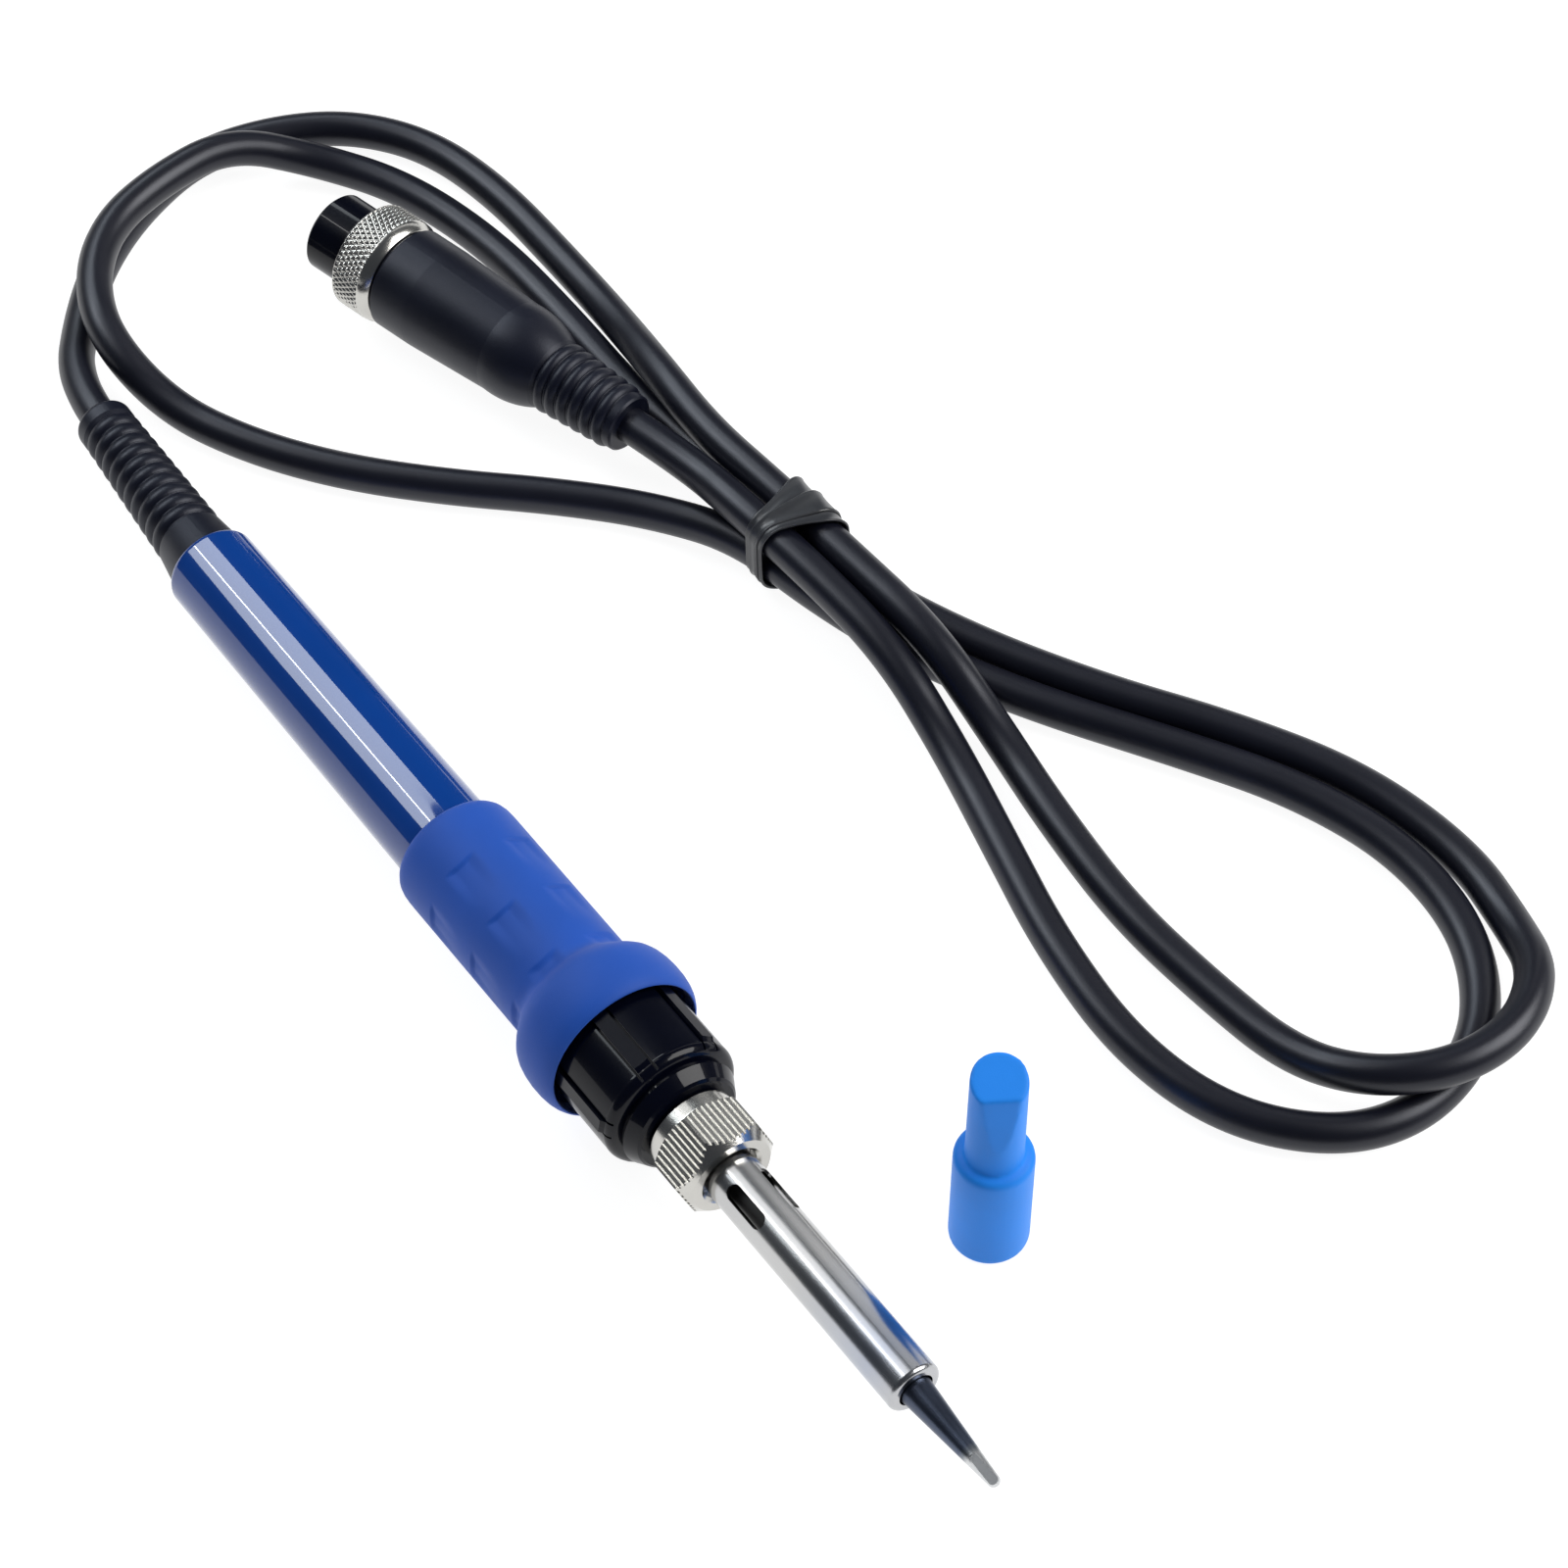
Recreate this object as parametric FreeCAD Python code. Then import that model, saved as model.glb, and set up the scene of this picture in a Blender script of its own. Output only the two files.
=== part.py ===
import FreeCAD, Part
import math
import os
from FreeCAD import Placement, Rotation, Vector

# Soldering iron of the station type: a pencil iron with a screwed nose, a hexagonal
# nut, a slotted tip enclosure and a plug-in cord, lying on a bench with its tip cap.
# All lengths are millimetres. +X runs along the iron to the tip, +Z is up, and the
# bench is z = 0. The origin is under the middle of the iron and its cap.

# ---- stations along the iron's axis, measured from the rear end of the strain relief
RELIEF_COLLAR_END = 3.6
RELIEF_RIBS_END = 29.2
SHELL_REAR = 35.5
SHELL_FRONT = 139.0
GRIP_REAR = 101.0
GRIP_NECK = 129.8
FLANGE_MIDDLE = 138.9
GRIP_FRONT = 143.3
SPIGOT_REAR = 132.6
NOSE_REAR = 139.2
NOSE_SHOULDER = 154.6
NOSE_FRONT = 157.8
NUT_REAR = 158.0
NUT_HEX_REAR = 160.3
NUT_FRONT = 167.7
FERRULE_FRONT = 164.3
ENCLOSURE_REAR = 164.5
ENCLOSURE_STEP = 168.4
ENCLOSURE_FRONT = 206.9
TIP_END = 223.2

# ---- radii about the iron's axis
CORD_R = 2.75
RELIEF_REAR_R = 4.3
RELIEF_BASE_R = 5.9
SHELL_REAR_R = 6.8
SHELL_RIM_R = 1.1
SHELL_FRONT_R = 7.2
SHELL_BORE_R = 5.7
GRIP_REAR_R = 9.1
GRIP_NECK_R = 9.05
FLANGE_R = 12.2
FLANGE_BORE_R = 10.9
NOSE_R = 9.9
NOSE_RIDGE_R = 10.35
NOSE_CONE_R = 8.6
NUT_ACROSS_FLATS = 13.2
NUT_COLLAR_R = 6.3
THREAD_R = 5.1
ENCLOSURE_R = 3.8
ENCLOSURE_NECK_R = 3.6
ENCLOSURE_BORE_R = 3.4
TIP_SHANK_R = 3.25
TIP_CONE_R = 2.2
TIP_END_R = 0.8
HEATER_R = 1.95

# ---- how the iron lies: on its grip flange and on the rear edge of its shell
TILT = math.asin((FLANGE_R - SHELL_REAR_R) / (FLANGE_MIDDLE - SHELL_REAR - SHELL_RIM_R))

# ---- the strain relief sags sideways about its base by this many degrees
RELIEF_BEND = 3.05

# ---- the origin, measured from the foot of the iron's axis at the strain relief's rear end
ORIGIN = Vector(111.36, 10.14, 0)

# ---- tip cap, standing on the bench
CAP_AT = Vector(186.0, 27.2, 0)
CAP_R = 5.3
CAP_NECK_R = 3.7
CAP_SHOULDER = 18.6
CAP_HEIGHT = 36.0

# ---- plug at the far end of the cord
PLUG_TAIL = Vector(47.9, 64.2, 7.8)
PLUG_HEADING = 14.4
PLUG_DIP = 1.0
PLUG_LENGTH = 60.7
BARREL_R = 6.3
RING_START = 7.2
RING_END = 14.7
RING_R = 8.6
PLUG_BODY_R = 8.2
PLUG_RIBS_START = 46.0
PLUG_TAIL_R = 4.55

# ---- the cord's rest heights: on the bench, over another strand, and inside the tie
ON_BENCH = CORD_R
OVER = 8.7
TIE_LOW = 3.75
TIE_HIGH = 9.5
TIE_MIDDLE = Vector(79.2, 71.25, 0)
TIE_WIDTH = 9.6
TIE_THICK = 0.8
EXIT_RUN = 10.0
PLUG_RUN = 12.0

# Route of the cord between its two straight ends, x and y from the strain relief's rear
# end. It loops round the left, runs through the tie four times and round the right twice.
CORD_ROUTE = [
    (-21.6, 10.1, 3), (-30.9, 18.5, ON_BENCH), (-38.2, 29.3, ON_BENCH), (-43.1, 42.7, ON_BENCH),
    (-40.9, 55.6, ON_BENCH), (-34.9, 66.5, ON_BENCH), (-23.9, 74.3, ON_BENCH),
    (-8.4, 77.3, ON_BENCH), (9.5, 77.4, ON_BENCH), (25.5, 76.5, 4), (41.3, 73.7, 8.2),
    (56.4, 72.3, 8.8), (71.5, 73.3, TIE_HIGH), (88.8, 74.5, TIE_HIGH), (107.3, 75.6, 9.6),
    (124.1, 75.9, ON_BENCH), (139.4, 73.4, ON_BENCH), (157.4, 71.6, ON_BENCH),
    (174.1, 72.8, ON_BENCH), (189.1, 74.2, 4.1), (199.2, 78.5, 7.4), (205.4, 87.8, 8.9),
    (205.5, 99, 8.9), (199.4, 108.3, 7.4), (189.7, 112.6, 3.8), (176.5, 115.6, ON_BENCH),
    (158.3, 112.4, ON_BENCH), (141.3, 103.5, ON_BENCH), (124.7, 92.3, ON_BENCH),
    (105.9, 82.3, ON_BENCH), (88.2, 75.3, TIE_LOW), (71.4, 74, TIE_LOW), (55.4, 72.2, ON_BENCH),
    (38.3, 70.3, ON_BENCH), (19.3, 70.8, ON_BENCH), (0.3, 70.3, ON_BENCH),
    (-18.1, 66.1, ON_BENCH), (-30.9, 57.6, 3.5), (-37.3, 46.1, 8.5), (-36.1, 32.9, OVER),
    (-31.9, 21.4, OVER), (-22.8, 13.2, OVER), (-10.9, 9.4, 8.1), (1.8, 12.1, 3.1),
    (15.1, 18.1, ON_BENCH), (27.6, 26.8, ON_BENCH), (39.1, 37.9, ON_BENCH),
    (49.6, 49.8, ON_BENCH), (60, 59.8, ON_BENCH), (72.4, 67.1, TIE_LOW), (88.5, 69.8, TIE_LOW),
    (104.6, 75.3, ON_BENCH), (121.4, 83.7, ON_BENCH), (138.4, 94.6, ON_BENCH),
    (154.6, 104.3, ON_BENCH), (171.6, 109.4, ON_BENCH), (188.3, 107.4, ON_BENCH),
    (201, 97.9, ON_BENCH), (205.7, 84.7, ON_BENCH), (202.7, 72.2, ON_BENCH),
    (191.5, 62, ON_BENCH), (175.3, 58.2, ON_BENCH), (156.3, 60.2, ON_BENCH),
    (138.3, 64.7, ON_BENCH), (121.4, 68.9, ON_BENCH), (105.4, 69.8, 8.4), (88.2, 68.8, TIE_HIGH),
    (71.9, 67.3, 9.6),
]


# ---------------------------------------------------------------- shared shapes
def outline_face(points):
    """A face in the XZ plane from (x, z) corners; a three-pair entry is an arc through
    its middle pair, which ends at its last pair."""
    edges = []
    here = Vector(points[0][0], 0, points[0][1])
    start = here
    for entry in points[1:]:
        if isinstance(entry[0], tuple):
            middle = Vector(entry[0][0], 0, entry[0][1])
            there = Vector(entry[1][0], 0, entry[1][1])
            edges.append(Part.Arc(here, middle, there).toShape())
        else:
            there = Vector(entry[0], 0, entry[1])
            edges.append(Part.LineSegment(here, there).toShape())
        here = there
    if here.distanceToPoint(start) > 1e-6:
        edges.append(Part.LineSegment(here, start).toShape())
    return Part.Face(Part.Wire(edges))


def turned(points):
    """A solid of revolution about the X axis from (station, radius) corners."""
    return outline_face(points).revolve(Vector(0, 0, 0), Vector(1, 0, 0), 360)


def rod(radius, start, end, y=0.0, z=0.0):
    """A round rod along X from one station to another."""
    return Part.makeCylinder(radius, end - start, Vector(start, y, z), Vector(1, 0, 0))


def tube(outer, inner, start, end):
    """A round tube along X from one station to another."""
    return rod(outer, start, end).cut(rod(inner, start - 1, end + 1))


def block(start, end, width, low, high, y=0.0):
    """A rectangular bar along X, centred on y."""
    return Part.makeBox(end - start, width, high - low, Vector(start, y - width / 2, low))


def about_axis(shape, degrees):
    """The shape turned about the X axis."""
    copy = shape.copy()
    copy.rotate(Vector(0, 0, 0), Vector(1, 0, 0), degrees)
    return copy


def rounded(corner, before, after, radius):
    """The arc entry that rounds a corner between two neighbouring outline points."""
    corner_v = Vector(corner[0], corner[1], 0)
    to_before = (Vector(before[0], before[1], 0) - corner_v).normalize()
    to_after = (Vector(after[0], after[1], 0) - corner_v).normalize()
    half = to_before.getAngle(to_after) / 2
    reach = radius / math.tan(half)
    first = corner_v + to_before * reach
    last = corner_v + to_after * reach
    centre = corner_v + (to_before + to_after).normalize() * (radius / math.sin(half))
    middle = centre + (corner_v - centre).normalize() * radius
    return [(first.x, first.y), ((middle.x, middle.y), (last.x, last.y))]


def ribbed_outline(start, end, start_r, end_r, count, depth):
    """Outline entries for soft ribs: one arc over each rib, one through each groove."""
    entries = []
    pitch = (end - start) / count
    for index in range(count):
        left = start + index * pitch
        share = (index + 0.5) / count
        crest = start_r + (end_r - start_r) * share
        middle = left + 0.4 * pitch
        right = left + 0.8 * pitch
        entries.append(((middle, crest), (right, crest - 0.7 * depth)))
        groove = left + 0.9 * pitch
        entries.append(((groove, crest - depth), (left + pitch, crest - 0.7 * depth)))
    return entries


# ---------------------------------------------------------------- hot end
def make_tip():
    """Plated copper tip: a hollow shank, a shoulder and a cone with a bevelled end."""
    shank_rear = 180.5
    shoulder = ENCLOSURE_FRONT - 1.05
    body = turned([
        (shank_rear, 0), (shank_rear, TIP_SHANK_R - 0.3), (shank_rear + 0.3, TIP_SHANK_R),
        (shoulder, TIP_SHANK_R), (shoulder, TIP_CONE_R + 0.05), (ENCLOSURE_FRONT, TIP_CONE_R),
        (TIP_END - 0.5, TIP_END_R), ((TIP_END - 0.15, TIP_END_R * 0.72), (TIP_END, 0)),
    ])
    heater_bore = rod(HEATER_R + 0.12, shank_rear - 1, 202.6)
    bevel = block(TIP_END - 4.6, TIP_END + 4, 8, 0, 8)
    bevel.rotate(Vector(TIP_END - 4.6, 0, 0), Vector(0, 1, 0), 8)
    bevel.translate(Vector(0, 0, 1.08))
    return about_axis(body.cut(heater_bore).cut(bevel), 20)


def make_tip_enclosure():
    """Thin steel tube with a rear flange, a slimmer neck in the nut, a front lip and four slots."""
    lip_r = TIP_CONE_R + 0.3
    front = ENCLOSURE_FRONT
    body = turned([
        (ENCLOSURE_REAR, ENCLOSURE_BORE_R), (ENCLOSURE_REAR, 4.85), (ENCLOSURE_REAR + 1.2, 4.85),
        (ENCLOSURE_REAR + 1.2, ENCLOSURE_NECK_R), (ENCLOSURE_STEP, ENCLOSURE_NECK_R),
        (ENCLOSURE_STEP, ENCLOSURE_R), (front - 0.8, ENCLOSURE_R),
        ((front - 0.2, ENCLOSURE_R - 0.22), (front, ENCLOSURE_R - 0.8)),
        (front, lip_r), (front - 0.5, lip_r), (front - 0.8, ENCLOSURE_BORE_R),
    ])
    slot_start, slot_end, slot_half = 170.6, 178.0, 1.15
    slot = block(slot_start + slot_half, slot_end - slot_half, 2 * slot_half, 0, 6)
    for end in (slot_start + slot_half, slot_end - slot_half):
        slot = slot.fuse(Part.makeCylinder(slot_half, 6, Vector(end, 0, 0)))
    for index in range(4):
        body = body.cut(about_axis(slot, 40 + 90 * index))
    return body


def make_nut():
    """Hexagonal nut with a round rear collar, chamfered ends and fine grooves along its flats."""
    half_flat = NUT_ACROSS_FLATS / 2
    corner_r = half_flat / math.cos(math.pi / 6)
    hexagon = Part.makePolygon([
        Vector(NUT_HEX_REAR, corner_r * math.sin(math.radians(60 * k)),
               corner_r * math.cos(math.radians(60 * k))) for k in range(7)
    ])
    prism = Part.Face(hexagon).extrude(Vector(NUT_FRONT - NUT_HEX_REAR, 0, 0))
    chamfer = turned([
        (NUT_HEX_REAR, 0), (NUT_HEX_REAR, half_flat - 0.25), (NUT_HEX_REAR + 1.0, corner_r + 0.1),
        (NUT_FRONT - 1.9, corner_r + 0.1), (NUT_FRONT, half_flat - 0.7), (NUT_FRONT, 0),
    ])
    body = prism.common(chamfer)
    groove_depth, groove_width, groove_pitch = 0.25, 0.42, 0.82
    for side in range(6):
        for index in range(-4, 5):
            groove = block(NUT_HEX_REAR - 1, NUT_FRONT + 1, groove_width,
                           half_flat - groove_depth, half_flat + 2, groove_pitch * index)
            body = body.cut(about_axis(groove, 30 + 60 * side))
    collar = turned([
        (NUT_REAR, 0), (NUT_REAR, NUT_COLLAR_R - 0.4), (NUT_REAR + 0.5, NUT_COLLAR_R),
        (NUT_HEX_REAR + 0.1, NUT_COLLAR_R), (NUT_HEX_REAR + 0.1, 0),
    ])
    lip_start = NUT_FRONT - 1.9
    bore = turned([
        (NUT_REAR - 1, 0), (NUT_REAR - 1, THREAD_R + 0.08), (lip_start, THREAD_R + 0.08),
        (lip_start, ENCLOSURE_R + 0.32), (NUT_FRONT - 0.5, ENCLOSURE_R + 0.32),
        (NUT_FRONT + 0.1, ENCLOSURE_R + 0.92), (NUT_FRONT + 0.1, 0),
    ])
    return about_axis(body.fuse(collar).cut(bore).removeSplitter(), 20)


def make_thread_ferrule():
    """Threaded metal ferrule, moulded into the nose, that takes the nut."""
    return turned([
        (147.0, 2.9), (147.0, 6.2), (150.0, 6.2), (150.0, THREAD_R), (FERRULE_FRONT - 0.4, THREAD_R),
        (FERRULE_FRONT, THREAD_R - 0.4), (FERRULE_FRONT, 2.9),
    ])


def make_nose():
    """Black nose: a round body with six narrow ridges, a threaded rear spigot and a front cone."""
    body = turned([
        (SPIGOT_REAR, 4.3), (SPIGOT_REAR, 5.64), (NOSE_REAR, 5.64), (NOSE_REAR, NOSE_R),
        (NOSE_SHOULDER - 1.6, NOSE_R), ((NOSE_SHOULDER - 0.4, NOSE_R - 0.35), (NOSE_SHOULDER, NOSE_R - 1.0)),
        (NOSE_SHOULDER + 0.2, 8.1), (NOSE_SHOULDER + 0.8, 8.1), (NOSE_SHOULDER + 1.1, NOSE_CONE_R),
        (NOSE_FRONT - 0.3, 7.6), (NOSE_FRONT, 7.2), (NOSE_FRONT, THREAD_R + 0.03),
        (150.03, THREAD_R + 0.03), (150.03, 6.23), (146.97, 6.23), (146.97, 4.3),
    ])
    body = body.cut(turned([(139.8, 0), (139.8, 5.6), (143.4, 5.6), (143.4, 0)]))
    half_ridge, groove_width = 1.05, 0.35
    ridge_run_out = turned([
        (NOSE_REAR, 0), (NOSE_REAR, NOSE_RIDGE_R + 0.2), (NOSE_SHOULDER - 2.2, NOSE_RIDGE_R + 0.2),
        (NOSE_SHOULDER - 0.6, NOSE_R - 0.5), (NOSE_SHOULDER - 0.6, 0),
    ])
    for side in range(6):
        turn = 18 + 60 * side
        for y in (-half_ridge - groove_width / 2, half_ridge + groove_width / 2):
            groove = block(NOSE_REAR - 1, NOSE_SHOULDER - 0.2, groove_width, NOSE_R - 0.55, NOSE_R + 1, y)
            body = body.cut(about_axis(groove, turn))
        ridge = block(NOSE_REAR + 0.3, NOSE_SHOULDER - 0.4, 2 * half_ridge, NOSE_R - 1.4, NOSE_RIDGE_R)
        body = body.fuse(about_axis(ridge.common(ridge_run_out), turn))
    return body.removeSplitter()


def make_heater_bush():
    """Ceramic centring bush that rides inside the nose round the heater."""
    return tube(5.5, HEATER_R + 0.25, 140.0, 143.2)


def make_heater_rod():
    """Ceramic heating element that reaches up inside the tip."""
    return turned([
        (130.0, 0), (130.0, HEATER_R), (201.6, HEATER_R), (202.0, HEATER_R - 0.4), (202.0, 0),
    ])


def make_heater_base():
    """Ceramic foot of the heating element, cemented on behind the rod."""
    return turned([(124.5, 0), (124.5, 3.3), (129.9, 3.3), (129.9, 0)])


# ---------------------------------------------------------------- inside the handle
LEAD_PLACES = [(-2.1, 0.9), (-0.7, 0.9), (0.7, 0.9), (2.1, 0.9)]
BOARD_REAR = 62.0
BOARD_FRONT = 96.0


def make_heater_leads():
    """Four bare wires from the heater's foot to the terminal board."""
    return Part.makeCompound([rod(0.2, 92.0, 124.4, y, z) for y, z in LEAD_PLACES])


def make_lead_sleeves():
    """Glass-fibre sleeves over the four heater wires."""
    sleeves = []
    for y, z in LEAD_PLACES:
        outer = rod(0.6, 97.0, 124.0, y, z)
        sleeves.append(outer.cut(rod(0.25, 96.0, 125.0, y, z)))
    return Part.makeCompound(sleeves)


def make_terminal_board():
    """Circuit board strip that joins the heater wires to the cord's wires."""
    board = block(BOARD_REAR, BOARD_FRONT, 8.6, -1.0, 0.6)
    for station in (66.0, 92.5):
        board = board.cut(Part.makeCylinder(0.6, 4, Vector(station, 3.4, -2)))
    return board


def make_board_pins():
    """Turret pins soldered through the board, one for each wire."""
    pins = []
    for station, places in ((65.0, (-2.4, -1.2, 0.0, 1.2, 2.4)), (94.5, (-2.1, -0.7, 0.7, 2.1))):
        for y in places:
            pins.append(Part.makeCylinder(0.35, 1.1, Vector(station, y, -2.15)))
    return Part.makeCompound(pins)


def make_cord_wires():
    """Five insulated wires from the end of the jacket to the terminal board."""
    places = (-2.4, -1.2, 0.0, 1.2, 2.4)
    wires = []
    for y in places:
        start = Vector(50.1, y * 0.66, 0.0)
        turn = Vector(56.0, y, 1.2)
        end = Vector(67.0, y, 1.2)
        path = Part.Wire([Part.LineSegment(start, turn).toShape()])
        profile = Part.Wire([Part.Circle(start, turn - start, 0.38).toShape()])
        slanted = path.makePipeShell([profile], True, True)
        straight = Part.makeCylinder(0.38, end.x - turn.x, turn, Vector(1, 0, 0))
        wires.append(slanted.fuse(straight).fuse(Part.makeSphere(0.38, turn)).removeSplitter())
    return Part.makeCompound(wires)


def make_earth_spring():
    """Leaf spring that earths the ferrule through the heater's foot."""
    strip = block(97.0, 126.0, 2.4, -4.75, -4.45)
    foot = block(97.0, 97.3, 2.4, -4.75, -1.2)
    return strip.fuse(foot).removeSplitter()


def make_cord_clamp():
    """Split clamp ring that holds the jacket behind the strain relief."""
    ring = tube(5.5, CORD_R + 0.05, 42.0, 47.0)
    slit = block(41.0, 48.0, 1.0, 0.0, 7.0)
    holes = Part.makeCylinder(0.62, 14, Vector(44.5, -7, 4.0), Vector(0, 1, 0))
    return ring.cut(slit).cut(holes)


def make_clamp_screw():
    """Screw that closes the clamp across its slit."""
    return Part.makeCylinder(0.6, 6.0, Vector(44.5, -3.0, 4.0), Vector(0, 1, 0))


def make_cord_tail():
    """The end of the cord's jacket inside the strain relief and the clamp."""
    return jacket(CORD_R, 0.0, 50.0)


# ---------------------------------------------------------------- outer handle
def make_handle_shell():
    """Round hollow handle with a rounded rear rim, stepped under the grip."""
    slope_end = GRIP_REAR + 0.5
    rim = rounded((SHELL_REAR, SHELL_REAR_R), (SHELL_REAR, 4.7), (slope_end, SHELL_FRONT_R), SHELL_RIM_R)
    return turned([
        (SHELL_REAR, 4.7), rim[0], rim[1], (slope_end, SHELL_FRONT_R), (SHELL_FRONT, SHELL_FRONT_R),
        (SHELL_FRONT, SHELL_BORE_R), (SHELL_REAR + 3.0, SHELL_BORE_R), (SHELL_REAR + 3.0, 4.7),
    ])


def make_grip_sleeve():
    """Soft sleeve over the front of the handle, with a round flange at its front."""
    bore = SHELL_FRONT_R + 0.03
    rear = GRIP_REAR
    return turned([
        (rear, bore), (rear, GRIP_REAR_R - 1.3), ((rear + 0.4, GRIP_REAR_R - 0.4), (rear + 1.4, GRIP_REAR_R)),
        (GRIP_NECK, GRIP_NECK_R), ((GRIP_NECK + 1.5, GRIP_NECK_R + 0.5), (GRIP_NECK + 2.8, 10.6)),
        ((GRIP_NECK + 5.2, 11.75), (FLANGE_MIDDLE, FLANGE_R)), (FLANGE_MIDDLE + 1.6, FLANGE_R - 0.03),
        ((GRIP_FRONT - 0.8, FLANGE_R - 0.45), (GRIP_FRONT, FLANGE_BORE_R + 0.3)),
        (GRIP_FRONT - 0.3, FLANGE_BORE_R), (SHELL_FRONT + 0.05, FLANGE_BORE_R),
        (SHELL_FRONT + 0.05, bore),
    ])


def bent(shape):
    """The shape turned sideways about the base of the strain relief."""
    copy = shape.copy()
    copy.rotate(Vector(SHELL_REAR, 0, 0), Vector(0, 0, 1), -RELIEF_BEND)
    return copy


def jacket(radius, rear, front):
    """The cord's end: straight inside the handle, bent behind it."""
    straight = rod(radius, SHELL_REAR, front)
    knee = Part.makeSphere(radius, Vector(SHELL_REAR, 0, 0))
    return straight.fuse(bent(rod(radius, rear, SHELL_REAR))).fuse(knee).removeSplitter()


def make_strain_relief():
    """Rubber sleeve behind the handle: a rear collar, soft ribs and a plain cone."""
    collar = RELIEF_COLLAR_END
    base = SHELL_REAR - 0.05
    ribs = ribbed_outline(collar, RELIEF_RIBS_END, 4.35, 5.2, 10, 0.55)
    outside = bent(turned([
        (0.0, 0), (0.0, RELIEF_REAR_R - 1.0), ((0.35, RELIEF_REAR_R - 0.3), (1.2, RELIEF_REAR_R)),
        (collar - 0.8, RELIEF_REAR_R), (collar, 4.0), *ribs,
        (RELIEF_RIBS_END + 0.4, 5.15), (base, RELIEF_BASE_R), (base + 2, RELIEF_BASE_R), (base + 2, 0),
    ]))
    outside = outside.cut(block(base, base + 5, 20, -10, 10))
    spigot = turned([
        (base, 0), (base, 4.65), (base + 3.1, 4.65), (base + 3.1, 5.6), (base + 5.5, 5.6), (base + 5.5, 0),
    ])
    return outside.fuse(spigot).cut(jacket(CORD_R + 0.03, -1.0, SHELL_REAR + 8)).removeSplitter()


# ---------------------------------------------------------------- plug
def make_plug_boot():
    """Moulded rubber back of the plug: a round body, a taper and six ribs."""
    body_front = RING_END + 0.15
    ribs = ribbed_outline(PLUG_RIBS_START, PLUG_LENGTH - 1.4, 5.8, 5.05, 6, 0.7)
    return turned([
        (body_front, 6.3), (body_front, PLUG_BODY_R - 0.7), (body_front + 0.7, PLUG_BODY_R),
        (22.0, PLUG_BODY_R), (36.9, 7.5), ((42.6, 6.9), (PLUG_RIBS_START - 0.6, 5.7)),
        (PLUG_RIBS_START, 5.15), *ribs, (PLUG_LENGTH - 0.3, PLUG_TAIL_R), (PLUG_LENGTH, PLUG_TAIL_R - 0.3),
        (PLUG_LENGTH, CORD_R + 0.03), (43.6, CORD_R + 0.03), (43.6, 4.3), (36.0, 4.3), (36.0, 6.3),
    ])


def make_plug_shell():
    """Metal inner sleeve that carries the barrel, the ring and the boot."""
    return turned([
        (RING_START + 2.2, 5.4), (RING_START + 2.2, 7.3), (RING_START + 3.2, 7.3),
        (RING_START + 3.2, 6.25), (35.0, 6.25), (35.0, 5.4),
    ])


def make_coupling_ring():
    """Knurled ring that screws the plug to its socket, captive between flange and boot."""
    return turned([
        (RING_START, 7.4), (RING_START, RING_R - 0.7), (RING_START + 0.9, RING_R),
        (RING_END - 1.6, RING_R), (RING_END, RING_R - 0.9), (RING_END, 6.4),
        (RING_START + 3.4, 6.4), (RING_START + 3.4, 7.4),
    ])


def make_plug_barrel():
    """Glossy front barrel round the contacts, open at its mouth."""
    return turned([
        (0.4, 5.35), (0.0, 5.7), (0.0, BARREL_R - 0.4), (0.4, BARREL_R), (RING_START + 2.1, BARREL_R),
        (RING_START + 2.1, 5.35),
    ])


def make_plug_insert():
    """Insulating disc that holds the contacts, set back inside the barrel."""
    disc = rod(5.3, 4.0, 12.0)
    for y, z in contact_places():
        disc = disc.cut(rod(0.8, 3.0, 13.0, y, z))
    return disc


def contact_places():
    """Centres of the five contacts, spread round most of a circle."""
    places = []
    for index in range(5):
        angle = math.radians(-108 + 54 * index)
        places.append((3.2 * math.sin(angle), 3.2 * math.cos(angle)))
    return places


def make_plug_contacts():
    """Five contact tubes with a blind bore at their open end."""
    contacts = []
    for y, z in contact_places():
        contacts.append(rod(0.77, 3.4, 15.0, y, z).cut(rod(0.45, 3.0, 9.0, y, z)))
    return Part.makeCompound(contacts)


def make_plug_wires():
    """Five insulated wires from the contacts back to the end of the jacket."""
    return Part.makeCompound([rod(0.5, 15.05, 35.5, y * 0.98, z * 0.98) for y, z in contact_places()])


def make_plug_crimp():
    """Crimp ferrule on the cord's jacket inside the plug."""
    return tube(4.2, CORD_R + 0.05, 37.0, 43.0)


def make_plug_cord_tail():
    """The end of the cord's jacket inside the plug."""
    return rod(CORD_R, 36.0, PLUG_LENGTH)


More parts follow.
